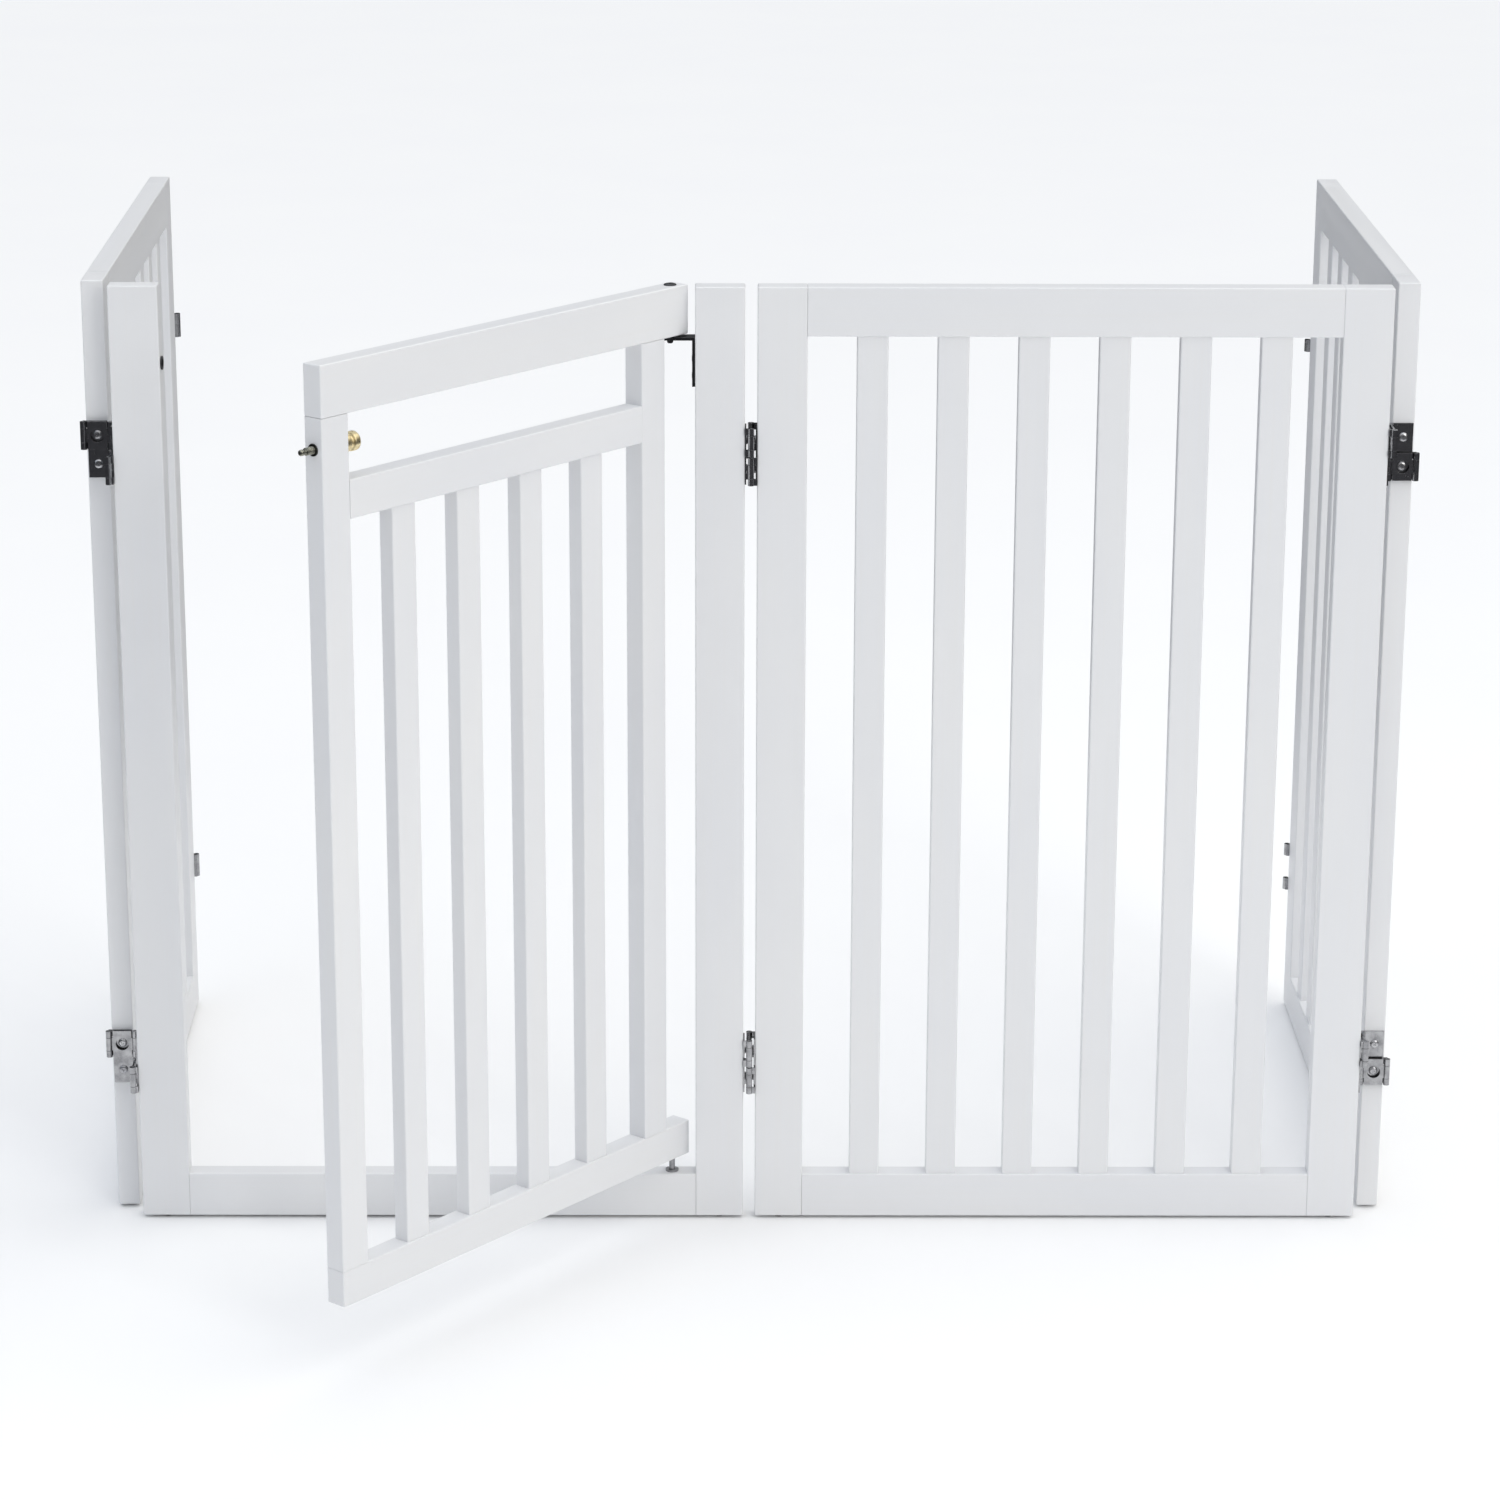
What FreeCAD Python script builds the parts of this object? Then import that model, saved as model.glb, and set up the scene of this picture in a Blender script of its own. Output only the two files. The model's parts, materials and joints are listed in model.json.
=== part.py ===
import FreeCAD, Part
import os
import re

import Sketcher

# Folding wooden pet gate, standing as it is used: a U-shaped frame with a door and a slatted panel side by
# side, and a slatted panel folded back at each end. The door stands open towards the front.
# Millimetres, +Z up, front towards -Y.

DRIVING = {
    # panels
    "gate_top": 800.0,
    "panel_width": 508.0,
    "board_thick": 18.0,
    "stile_wide": 40.0,
    "upper_rail": 40.0,
    "lower_rail": 38.0,
    "slat_wide": 25.0,
    "slat_thick": 14.0,
    "edge_round": 1.2,
    "foot_high": 2.5,
    "foot_across": 9.0,
    "nail_across": 2.0,
    "nail_deep": 12.0,
    # hinges between the panels
    "middle_gap": 10.0,
    "side_gap": 8.0,
    "hinge_inset": 138.0,
    "leaf_high": 47.0,
    "leaf_inset": 1.0,
    "leaf_thick": 1.2,
    "link_inset": 1.2,
    "link_thick": 1.4,
    "pin_stand": 2.0,
    "pin_across": 2.4,
    "pin_play": 0.05,
    "barrel_across": 5.2,
    "knuckle_high": 5.6,
    "knuckle_play": 0.3,
    "zone_high": 23.0,
    "zone_split": 1.0,
    "access_hole": 11.0,
    "screw_across": 3.5,
    "screw_deep": 14.0,
    "screw_head": 7.5,
    "screw_point": 3.5,
    "hole_past": 0.5,
    "head_high": 1.5,
    "loose_hole": 2.6,
    "long_knuckle": 21.6,
    "short_knuckle": 11.2,
    # door
    "door_bottom": 55.0,
    "door_stile": 28.0,
    "door_rail": 30.0,
    "door_mid_top": 710.0,
    "door_gap": 4.0,
    "rail_past": 12.0,
    "stile_from_pivot": 17.0,
    # door pivots
    "pivot_inset": 20.0,
    "pivot_across": 5.0,
    "pivot_deep": 20.0,
    "bolt_head": 10.5,
    "bolt_head_high": 2.5,
    "bolt_past": 4.0,
    "bolt_end": 0.6,
    "low_pin_end": 1.0,
    "washer_across": 11.0,
    "washer_play": 0.1,
    "washer_thick": 1.0,
    "lower_washer": 1.5,
    "bracket_thick": 2.4,
    "bracket_wide": 14.0,
    "bracket_reach": 25.0,
    "bracket_drop": 40.0,
    "bracket_screw_a": 18.0,
    "bracket_screw_b": 32.0,
    # latch
    "latch_height": 736.0,
    "rod_across": 6.0,
    "rod_nose": 4.8,
    "nose_long": 6.0,
    "nose_end": 0.9,
    "nose_taper": 0.8,
    "rod_out": 14.5,
    "rod_rear": 4.0,
    "rod_rear_play": 0.2,
    "collar_across": 7.2,
    "collar_long": 1.5,
    "latch_bore": 7.6,
    "latch_wall": 3.0,
    "bush_flange": 9.4,
    "bush_flange_thick": 1.0,
    "bush_deep": 5.0,
    "spring_across": 7.0,
    "spring_wire": 0.6,
    "spring_turns": 5.0,
    "spring_play": 0.1,
    "knob_across": 15.0,
    "knob_long": 14.5,
    "knob_waist": 11.0,
    "knob_hole": 10.0,
    "knob_edge": 0.8,
    "strike_across": 8.5,
    "strike_bore": 7.0,
    "strike_long": 12.0,
    "strike_deep": 16.0,
    "strike_flange": 11.0,
    "strike_flange_thick": 1.5,
}
SLATS_IN_PANEL = 6
SLATS_IN_DOOR = 4
LEFT_FOLD = 89.0
RIGHT_FOLD = 90.0
DOOR_OPEN = 50.4

V = FreeCAD.Vector
ALONG, UP, DOWN = V(1, 0, 0), V(0, 0, 1), V(0, 0, -1)
doc = FreeCAD.newDocument("pet_gate")
sheet = doc.addObject("Spreadsheet::Sheet", "dims")
for row, (alias, number) in enumerate(DRIVING.items(), start=1):
    sheet.set(f"A{row}", alias)
    sheet.set(f"B{row}", str(number))
    sheet.setAlias(f"B{row}", alias)
doc.recompute()
size = {alias: float(sheet.get(alias)) for alias in DRIVING}

THICK = size["board_thick"]
WIDTH = size["panel_width"]
STILE = size["stile_wide"]
FOOT = size["foot_high"]
LOW_RAIL_TOP = FOOT + size["lower_rail"]
HIGH_RAIL_BOTTOM = size["gate_top"] - size["upper_rail"]
DOORWAY = WIDTH - 2 * STILE
HINGE_HEIGHTS = (size["gate_top"] - size["hinge_inset"], size["hinge_inset"])
ZONES = {"upper": size["zone_split"] / 2, "lower": -size["zone_split"] / 2 - size["zone_high"]}
SCREW_RISES = [bottom + size["zone_high"] / 2 for bottom in ZONES.values()]
PIN_Y = {"front": -size["pin_stand"], "back": THICK + size["pin_stand"]}


# ---------------------------------------- places

def shift(x=0.0, y=0.0, z=0.0):
    return FreeCAD.Placement(V(x, y, z), FreeCAD.Rotation())


def turned_to(axis, x=0.0, y=0.0, z=0.0):
    """A place where a piece's own x axis points along another direction."""
    return FreeCAD.Placement(V(x, y, z), FreeCAD.Rotation(ALONG, axis))


def swung(degrees, x, y):
    """A turn about the upright line through (x, y)."""
    spin = FreeCAD.Rotation(UP, degrees)
    return FreeCAD.Placement(V(x, y, 0) - spin.multVec(V(x, y, 0)), spin)


# In a panel's own place x runs along its width from 0, y = 0 is its front face and z is the height above
# the floor.
SIDE_LINE = size["middle_gap"] / 2 + WIDTH + size["side_gap"] / 2
FRAME = shift(-size["middle_gap"] / 2 - WIDTH)
PLAIN = shift(size["middle_gap"] / 2)
LEFT = swung(-LEFT_FOLD, -SIDE_LINE, PIN_Y["back"]) * shift(-SIDE_LINE - size["side_gap"] / 2 - WIDTH)
RIGHT = swung(RIGHT_FOLD, SIDE_LINE, PIN_Y["back"]) * shift(SIDE_LINE + size["side_gap"] / 2)

# In the door's own place x = 0, y = 0 is the pivot line, in mid thickness, and the door reaches towards -x.
PIVOT_X = WIDTH - STILE - size["pivot_inset"]
DOOR = FRAME * shift(PIVOT_X, THICK / 2) * swung(DOOR_OPEN, 0, 0)
DOOR_EDGE = -(DOORWAY - size["pivot_inset"] - size["door_gap"])
DOOR_RAIL_TOP = size["door_bottom"] + size["door_rail"]


# ---------------------------------------- building blocks

kept = {}


def keep(thing, place, label=None):
    """Puts a finished sub-part in its place, under its own name."""
    if label:
        thing.Label = label
    thing.Placement = place
    kept[thing.Label] = thing
    return thing


def bind(thing, prop, formula):
    """Ties a size to the sheet. The words in the formula are the sheet's aliases."""
    cells = re.sub(r"[a-z_]+", lambda word: f"dims.{word.group()}", formula)
    thing.setExpression(prop, cells)


def new_sketch(body, role, lift=None):
    sketch = body.newObject("Sketcher::SketchObject", "Sketch")
    plane = next(f for f in body.Origin.OriginFeatures if f.Role == role)
    sketch.AttachmentSupport = [(plane, "")]
    sketch.MapMode = "FlatFace"
    if lift:
        bind(sketch, "AttachmentOffset.Base.z", lift)
    return sketch


def outline(sketch, corners):
    """A closed outline. Each corner is a pair of formulas, and "0" puts it on the sketch's own axis."""
    count = len(corners)
    rough = [V(10 + 3 * i, 10 + 2 * i * i, 0) for i in range(count)]
    for i in range(count):
        sketch.addGeometry(Part.LineSegment(rough[i], rough[(i + 1) % count]))
    for i in range(count):
        sketch.addConstraint(Sketcher.Constraint("Coincident", i, 2, (i + 1) % count, 1))
    for i, corner in enumerate(corners):
        for kind, axis, formula in (("DistanceX", -2, corner[0]), ("DistanceY", -1, corner[1])):
            if formula == "0":
                sketch.addConstraint(Sketcher.Constraint("PointOnObject", i, 1, axis))
            else:
                index = sketch.addConstraint(Sketcher.Constraint(kind, -1, 1, i, 1, 10.0))
                bind(sketch, f"Constraints[{index}]", formula)


def circle(sketch, x, y, across):
    ring = sketch.addGeometry(Part.Circle(V(10, 10, 0), UP, 2))
    for kind, axis, formula in (("DistanceX", -2, x), ("DistanceY", -1, y)):
        if formula == "0":
            sketch.addConstraint(Sketcher.Constraint("PointOnObject", ring, 3, axis))
        else:
            index = sketch.addConstraint(Sketcher.Constraint(kind, -1, 1, ring, 3, 10.0))
            bind(sketch, f"Constraints[{index}]", formula)
    index = sketch.addConstraint(Sketcher.Constraint("Diameter", ring, 4.0))
    bind(sketch, f"Constraints[{index}]", across)


def pad(body, sketch, length):
    feature = body.newObject("PartDesign::Pad", "Pad")
    feature.Profile = sketch
    bind(feature, "Length", length)
    doc.recompute()
    return feature


def bored(body, role, lift, spot, across, deep, reverse=False):
    """A round hole from one of the body's planes, checked to take material away."""
    sketch = new_sketch(body, role, lift)
    circle(sketch, spot[0], spot[1], across)
    doc.recompute()
    before = body.Shape.Volume
    feature = body.newObject("PartDesign::Pocket", "Pocket")
    feature.Profile = sketch
    feature.Reversed = reverse
    bind(feature, "Length", deep)
    doc.recompute()
    if body.Shape.Volume > before - 0.01:
        raise RuntimeError(f"{body.Label}: a hole takes nothing away")


def rounded(body, base, wanted, radius):
    """Rounds the edges of a feature that the test picks."""
    feature = body.newObject("PartDesign::Fillet", "Fillet")
    feature.Base = (base, [f"Edge{i}" for i, edge in enumerate(base.Shape.Edges, start=1) if wanted(edge)])
    bind(feature, "Radius", radius)
    doc.recompute()


def along(axis):
    return lambda edge: abs(edge.tangentAt(edge.FirstParameter).dot(axis)) > 0.999


def every(edge):
    return True


def board(label, length, height, wanted, thick="board_thick"):
    """Planed wood: x along the panel, y its thickness, z up, with its long edges rounded."""
    body = doc.addObject("PartDesign::Body", label)
    sketch = new_sketch(body, "XY_Plane")
    outline(sketch, [("0", "0"), (length, "0"), (length, thick), ("0", thick)])
    rounded(body, pad(body, sketch, height), wanted, "edge_round")
    return body


def near_hole(body, height, across, deep):
    """A hole into the narrow side at x = 0."""
    bored(body, "YZ_Plane", None, ("board_thick / 2", height), across, deep, reverse=True)


def far_hole(body, height, across, deep):
    """A hole into the narrow side of a stile at x = stile_wide."""
    bored(body, "YZ_Plane", "stile_wide", ("board_thick / 2", height), across, deep)


def lathe(label, profile):
    """A turned piece about its own x axis, from (distance along the axis, radius) pairs."""
    body = doc.addObject("PartDesign::Body", label)
    sketch = new_sketch(body, "XY_Plane")
    outline(sketch, profile)
    feature = body.newObject("PartDesign::Revolution", "Revolution")
    feature.Profile = sketch
    feature.ReferenceAxis = (sketch, ["H_Axis"])
    feature.Angle = 360
    doc.recompute()
    return body


def box(corner, length, width, height):
    thing = doc.addObject("Part::Box", "Box")
    for prop, formula in (("Length", length), ("Width", width), ("Height", height)):
        bind(thing, prop, formula)
    thing.Placement = shift(*corner)
    return thing


def rod(foot, across, high, axis=UP):
    thing = doc.addObject("Part::Cylinder", "Rod")
    bind(thing, "Radius", f"({across}) / 2")
    bind(thing, "Height", high)
    thing.Placement = FreeCAD.Placement(V(*foot), FreeCAD.Rotation(UP, axis))
    return thing


def fused(pieces):
    thing = doc.addObject("Part::MultiFuse", "Fusion")
    thing.Shapes = pieces
    thing.Refine = True
    return thing


def cut(base, tools):
    thing = doc.addObject("Part::Cut", "Cut")
    thing.Base = base
    thing.Tool = fused(tools) if len(tools) > 1 else tools[0]
    return thing


def copies(label, place, spots):
    """One sub-part made of copies of a piece, or of several: (piece, place within the sub-part) pairs."""
    links = []
    for piece, spot in spots:
        link = doc.addObject("App::Link", "Copy")
        link.LinkedObject = piece
        link.Placement = spot
        links.append(link)
    thing = doc.addObject("Part::Compound", label)
    thing.Links = links
    return keep(thing, place)


# ---------------------------------------- panels of slats, and the U-shaped door frame

INNER = "panel_width - 2 * stile_wide"
HINGE_LEVELS = ("gate_top - hinge_inset - foot_high", "hinge_inset - foot_high")
WOOD_SCREW = ("screw_across", "screw_deep")


def stile(label, place, hinged_side):
    """A full-height upright, drilled for its foot's nail and, on one side, for the screws of two leaves."""
    body = board(label, "stile_wide", "gate_top - foot_high", every)
    middle = ("stile_wide / 2", "board_thick / 2")
    bored(body, "XY_Plane", None, middle, "nail_across", "nail_deep", reverse=True)
    drill = near_hole if hinged_side == "near" else far_hole
    for level in HINGE_LEVELS:
        for sign in "+-":
            drill(body, f"{level} {sign} (zone_high + zone_split) / 2", *WOOD_SCREW)
    return keep(body, place * shift(z=FOOT))


def rail(label, place, bottom, height):
    body = board(label, INNER, height, along(ALONG))
    return keep(body, place * shift(STILE, 0, bottom))


def slats(label, place, count, start, span, bottom, height):
    """Evenly spaced uprights, set back from both faces. All are copies of the first."""
    first = board(label + "_one", "slat_wide", height, along(UP), "slat_thick")
    wide = size["slat_wide"]
    gap = (span - count * wide) / (count + 1)
    inset = (THICK - size["slat_thick"]) / 2
    spots = [(first, shift(start + gap + i * (wide + gap), inset, bottom)) for i in range(count)]
    copies(label, place, spots)


def slatted_panel(name, place, near, far):
    """Two stiles, two rails and six slats. Both outer sides carry hinge leaves."""
    stile(f"{name}_{near}_stile", place, "near")
    stile(f"{name}_{far}_stile", place * shift(WIDTH - STILE), "far")
    rail(f"{name}_bottom_rail", place, FOOT, "lower_rail")
    rail(f"{name}_top_rail", place, HIGH_RAIL_BOTTOM, "upper_rail")
    clear = "gate_top - upper_rail - lower_rail - foot_high"
    slats(f"{name}_slats", place, SLATS_IN_PANEL, STILE, DOORWAY, LOW_RAIL_TOP, clear)


slatted_panel("left_panel", LEFT, "far", "hinge")
slatted_panel("plain_panel", PLAIN, "left", "right")
slatted_panel("right_panel", RIGHT, "hinge", "far")

latch_side = stile("frame_latch_stile", FRAME, "near")
far_hole(latch_side, "latch_height - foot_high", "strike_across", "strike_deep")
hinge_side = stile("frame_hinge_stile", FRAME * shift(WIDTH - STILE), "far")
BRACKET_TOP = "gate_top - upper_rail - washer_thick - knuckle_play"
BRACKET_SCREWS = ("bracket_screw_a", "bracket_screw_b")
for drop in BRACKET_SCREWS:
    near_hole(hinge_side, f"{BRACKET_TOP} - foot_high - {drop}", *WOOD_SCREW)
frame_rail = rail("frame_bottom_rail", FRAME, FOOT, "lower_rail")
PIVOT_IN_RAIL = (f"{INNER} - pivot_inset", "board_thick / 2")
bored(frame_rail, "XY_Plane", "lower_rail", PIVOT_IN_RAIL, "pivot_across", "pivot_deep")


# ---------------------------------------- door

DOOR_LONG = "panel_width - 2 * stile_wide - pivot_inset - door_gap + rail_past"
BETWEEN = f"({DOOR_LONG}) - rail_past - stile_from_pivot - 2 * door_stile"
PIVOT_IN_DOOR = (f"({DOOR_LONG}) - rail_past", "board_thick / 2")
INNER_EDGE = DOOR_EDGE + size["door_stile"]
HINGE_STILE_X = -size["stile_from_pivot"] - size["door_stile"]


def door_board(label, x, bottom, length, height, wanted):
    body = board(label, length, height, wanted)
    return keep(body, DOOR * shift(x, -THICK / 2, bottom))


door_top = door_board("door_top_rail", DOOR_EDGE, HIGH_RAIL_BOTTOM, DOOR_LONG, "upper_rail", every)
bored(door_top, "XY_Plane", "upper_rail", PIVOT_IN_DOOR, "pivot_across", "upper_rail")
door_low = door_board("door_bottom_rail", DOOR_EDGE, size["door_bottom"], DOOR_LONG, "door_rail", every)
TURNING_BORE = "pivot_across + 2 * pin_play"
bored(door_low, "XY_Plane", None, PIVOT_IN_DOOR, TURNING_BORE, "pivot_deep + 1", reverse=True)
MID_BOTTOM = size["door_mid_top"] - size["door_rail"]
door_board("door_mid_rail", INNER_EDGE, MID_BOTTOM, BETWEEN, "door_rail", along(ALONG))
UPRIGHT = "gate_top - upper_rail - door_bottom - door_rail"
door_board("door_hinge_stile", HINGE_STILE_X, DOOR_RAIL_TOP, "door_stile", UPRIGHT, along(UP))
door_latch = door_board("door_latch_stile", DOOR_EDGE, DOOR_RAIL_TOP, "door_stile", UPRIGHT, along(UP))
LATCH_IN_STILE = "latch_height - door_bottom - door_rail"
near_hole(door_latch, LATCH_IN_STILE, "rod_rear + 2 * rod_rear_play", "door_stile")
near_hole(door_latch, LATCH_IN_STILE, "latch_bore", "door_stile - latch_wall")
DOOR_SLATS = "door_mid_top - 2 * door_rail - door_bottom"
DOOR_FACE = DOOR * shift(y=-THICK / 2)
BETWEEN_STILES = HINGE_STILE_X - INNER_EDGE
slats("door_slats", DOOR_FACE, SLATS_IN_DOOR, INNER_EDGE, BETWEEN_STILES, DOOR_RAIL_TOP, DOOR_SLATS)


# ---------------------------------------- hinges between the panels

# In a hinge's own place x = 0 is mid gap, y as in the panels and z = 0 the hinge's middle. A leaf is drawn on
# the panel to the left of the gap. Turned by half a turn about the middle of the gap it fits the panel to the
# right.
OPPOSITE = swung(180, 0, THICK / 2)
WEB_END = (size["barrel_across"] + size["pin_across"]) / 4


def leaf(gap, knuckles, bore):
    """A screwed plate with knuckles off the panel's front or back face: (side, bottom, height) each."""
    face = -size[gap] / 2
    inset = size["leaf_inset"]
    thick = size["leaf_thick"]
    plate_wide = "board_thick - 2 * leaf_inset"
    pieces = [box((face, inset, -size["leaf_high"] / 2), "leaf_thick", plate_wide, "leaf_high")]
    bores = []
    for rise in SCREW_RISES:
        bores.append(rod((face - 1, THICK / 2, rise), "screw_across", "leaf_thick + 2", ALONG))
    tab = "leaf_inset + pin_stand + leaf_thick / 2 + 1"
    for side, bottom, height in knuckles:
        pin_y = PIN_Y[side]
        tab_y = pin_y - thick / 2 if side == "front" else THICK - inset - 1
        pieces.append(box((face, tab_y, bottom), "leaf_thick", tab, height))
        web = f"{gap} / 2 - leaf_thick / 2 - (barrel_across + pin_across) / 4"
        pieces.append(box((face + thick / 2, pin_y - thick / 2, bottom), web, "leaf_thick", height))
        pieces.append(rod((0, pin_y, bottom), "barrel_across", height))
        bores.append(rod((0, pin_y, bottom - 1), bore, f"{height} + 2"))
    return cut(fused(pieces), bores)


def link():
    """The plate in mid gap that joins a pin in front to a pin behind, with a hole to reach the screws."""
    half = size["link_thick"] / 2
    barrel_rise = size["knuckle_high"] + size["knuckle_play"]
    barrel_high = "zone_high - 2 * knuckle_high - 2 * knuckle_play"
    reach = "board_thick + 2 * pin_stand - (barrel_across + pin_across) / 2"
    pieces = [
        box((-half, size["link_inset"], 0), "link_thick", "board_thick - 2 * link_inset", "zone_high"),
        box((-half, PIN_Y["front"] + WEB_END, barrel_rise), "link_thick", reach, barrel_high),
    ]
    start = (-size["barrel_across"], THICK / 2, size["zone_high"] / 2)
    bores = [rod(start, "access_hole", "2 * barrel_across", ALONG)]
    for pin_y in PIN_Y.values():
        pieces.append(rod((0, pin_y, barrel_rise), "barrel_across", barrel_high))
        bores.append(rod((0, pin_y, 0), "pin_across + 2 * pin_play", "zone_high"))
    return cut(fused(pieces), bores)


def leaf_knuckles(zone, side):
    top = size["zone_high"] - size["knuckle_high"]
    return [(side, ZONES[zone] + rise, "knuckle_high") for rise in (0, top)]


LEAF_KNUCKLES = leaf_knuckles("upper", "front") + leaf_knuckles("lower", "back")
LEAVES = {gap: leaf(gap, LEAF_KNUCKLES, "pin_across") for gap in ("side_gap", "middle_gap")}
LINK = link()
PIN_SHORT = 0.2
PIN_LONG = f"zone_high - {2 * PIN_SHORT}"
PIN = lathe("hinge_pin", [("0", "0"), ("0", "pin_across / 2"), (PIN_LONG, "pin_across / 2"), (PIN_LONG, "0")])
SCREW_LONG = "head_high + leaf_thick + screw_deep - hole_past"
SCREW = lathe("wood_screw", [
    ("0", "0"),
    ("0", "screw_head * 0.3"),
    ("head_high * 0.6", "screw_head / 2"),
    ("head_high", "screw_head / 2"),
    ("head_high", "screw_across / 2"),
    (f"{SCREW_LONG} - screw_point", "screw_across / 2"),
    (SCREW_LONG, "0"),
])
PANELS = {"left_panel": LEFT, "frame": FRAME, "plain_panel": PLAIN, "right_panel": RIGHT}


def line_in_panel(edge, gap):
    """Where a hinge line stands in the place of a panel that it runs beside."""
    return -size[gap] / 2 if edge == "near" else WIDTH + size[gap] / 2


def leaf_spots(edge, gap, piece):
    """Copies of a leaf at both hinge heights, on the panel's near or far side."""
    side = OPPOSITE if edge == "near" else shift()
    return [(piece, shift(line_in_panel(edge, gap), 0, height) * side) for height in HINGE_HEIGHTS]


def link_spots(x, zone):
    return [(LINK, shift(x, 0, height + ZONES[zone])) for height in HINGE_HEIGHTS]


def pin_spots(edge, gap):
    """The pins pressed into a leaf. Left of a gap they stand in front above and behind below."""
    if edge == "near":
        sides = {"upper": "back", "lower": "front"}
    else:
        sides = {"upper": "front", "lower": "back"}
    x = line_in_panel(edge, gap)
    spots = []
    for height in HINGE_HEIGHTS:
        for zone, side in sides.items():
            spots.append((PIN, turned_to(UP, x, PIN_Y[side], height + ZONES[zone] + PIN_SHORT)))
    return spots


def screw_spots(edge):
    """The screws of both leaves on one side of a panel. Their heads lie on the leaves."""
    outwards = size["leaf_thick"] + size["head_high"]
    x, axis = (-outwards, ALONG) if edge == "near" else (WIDTH + outwards, -ALONG)
    return [(SCREW, turned_to(axis, x, THICK / 2, h + rise)) for h in HINGE_HEIGHTS for rise in SCREW_RISES]


HINGED = {
    "left_panel": {"far": ("left_line", "side_gap")},
    "frame": {"near": ("left_line", "side_gap"), "far": ("middle_line", "middle_gap")},
    "plain_panel": {"near": ("middle_line", "middle_gap"), "far": ("right_line", "side_gap")},
    "right_panel": {"near": ("right_line", "side_gap")},
}
for panel, edges in HINGED.items():
    pins = []
    for edge, (line, gap) in edges.items():
        hand = "right" if edge == "near" else "left"
        copies(f"{line}_{hand}_leaves", PANELS[panel], leaf_spots(edge, gap, LEAVES[gap]))
        pins += pin_spots(edge, gap)
    copies(f"{panel}_hinge_pins", PANELS[panel], pins)

# A folded link rides on the panel whose pin it doesn't turn about.
for label, panel, edge, gap, zone in (
    ("left_line_upper_links", "left_panel", "far", "side_gap", "upper"),
    ("left_line_lower_links", "frame", "near", "side_gap", "lower"),
    ("middle_line_upper_links", "frame", "far", "middle_gap", "upper"),
    ("middle_line_lower_links", "frame", "far", "middle_gap", "lower"),
    ("right_line_upper_links", "plain_panel", "far", "side_gap", "upper"),
    ("right_line_lower_links", "right_panel", "near", "side_gap", "lower"),
):
    copies(label, PANELS[panel], link_spots(line_in_panel(edge, gap), zone))

# Half hinges at the two ends, for a further panel: one long knuckle on the left, two short ones on the right.
END_LONG = leaf("side_gap", [("front", -size["long_knuckle"] / 2, "long_knuckle")], "loose_hole")
FIRST_SHORT = size["long_knuckle"] / 2 + 2 * size["knuckle_play"]
SHORT = [("back", bottom, "short_knuckle") for bottom in (FIRST_SHORT, -FIRST_SHORT - size["short_knuckle"])]
END_SHORT = leaf("side_gap", SHORT, "loose_hole")
copies("left_end_half_hinges", LEFT, leaf_spots("near", "side_gap", END_LONG))
copies("right_end_half_hinges", RIGHT, leaf_spots("far", "side_gap", END_SHORT))


# ---------------------------------------- screws and feet

BRACKET_TOP_Z = HIGH_RAIL_BOTTOM - size["washer_thick"] - size["knuckle_play"]
HEAD_OFF = size["head_high"] + size["bracket_thick"]
bracket_spots = []
for drop in BRACKET_SCREWS:
    spot = turned_to(ALONG, WIDTH - STILE - HEAD_OFF, THICK / 2, BRACKET_TOP_Z - size[drop])
    bracket_spots.append((SCREW, spot))
for panel, place in PANELS.items():
    extra = bracket_spots if panel == "frame" else []
    copies(f"{panel}_screws", place, screw_spots("near") + screw_spots("far") + extra)

GLIDE = lathe("glide", [
    ("0", "0"),
    ("0", "foot_across / 2 - 1"),
    ("foot_high * 0.4", "foot_across / 2"),
    ("foot_high", "foot_across / 2"),
    ("foot_high", "nail_across / 2"),
    ("foot_high + nail_deep - hole_past", "nail_across / 2"),
    ("foot_high + nail_deep - hole_past", "0"),
])
for panel, place in PANELS.items():
    feet = [(GLIDE, turned_to(UP, x, THICK / 2)) for x in (STILE / 2, WIDTH - STILE / 2)]
    copies(f"{panel}_feet", place, feet)


# ---------------------------------------- door pivots

def pivot_bracket():
    """An L of steel: one arm on the stile, the other under the door's top rail with the pivot's hole."""
    body = doc.addObject("PartDesign::Body", "pivot_bracket")
    sketch = new_sketch(body, "XZ_Plane")
    outline(sketch, [
        ("0", "0"),
        ("0", "-bracket_drop"),
        ("-bracket_thick", "-bracket_drop"),
        ("-bracket_thick", "-bracket_thick"),
        ("-bracket_reach", "-bracket_thick"),
        ("-bracket_reach", "0"),
    ])
    pad(body, sketch, "bracket_wide")
    bored(body, "XY_Plane", None, ("-pivot_inset", "-bracket_wide / 2"), TURNING_BORE, "bracket_thick")
    for drop in BRACKET_SCREWS:
        spot = ("-bracket_wide / 2", f"-{drop}")
        bored(body, "YZ_Plane", None, spot, "screw_across", "bracket_thick")
    return keep(body, FRAME * shift(WIDTH - STILE, (THICK + size["bracket_wide"]) / 2, BRACKET_TOP_Z))


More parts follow.
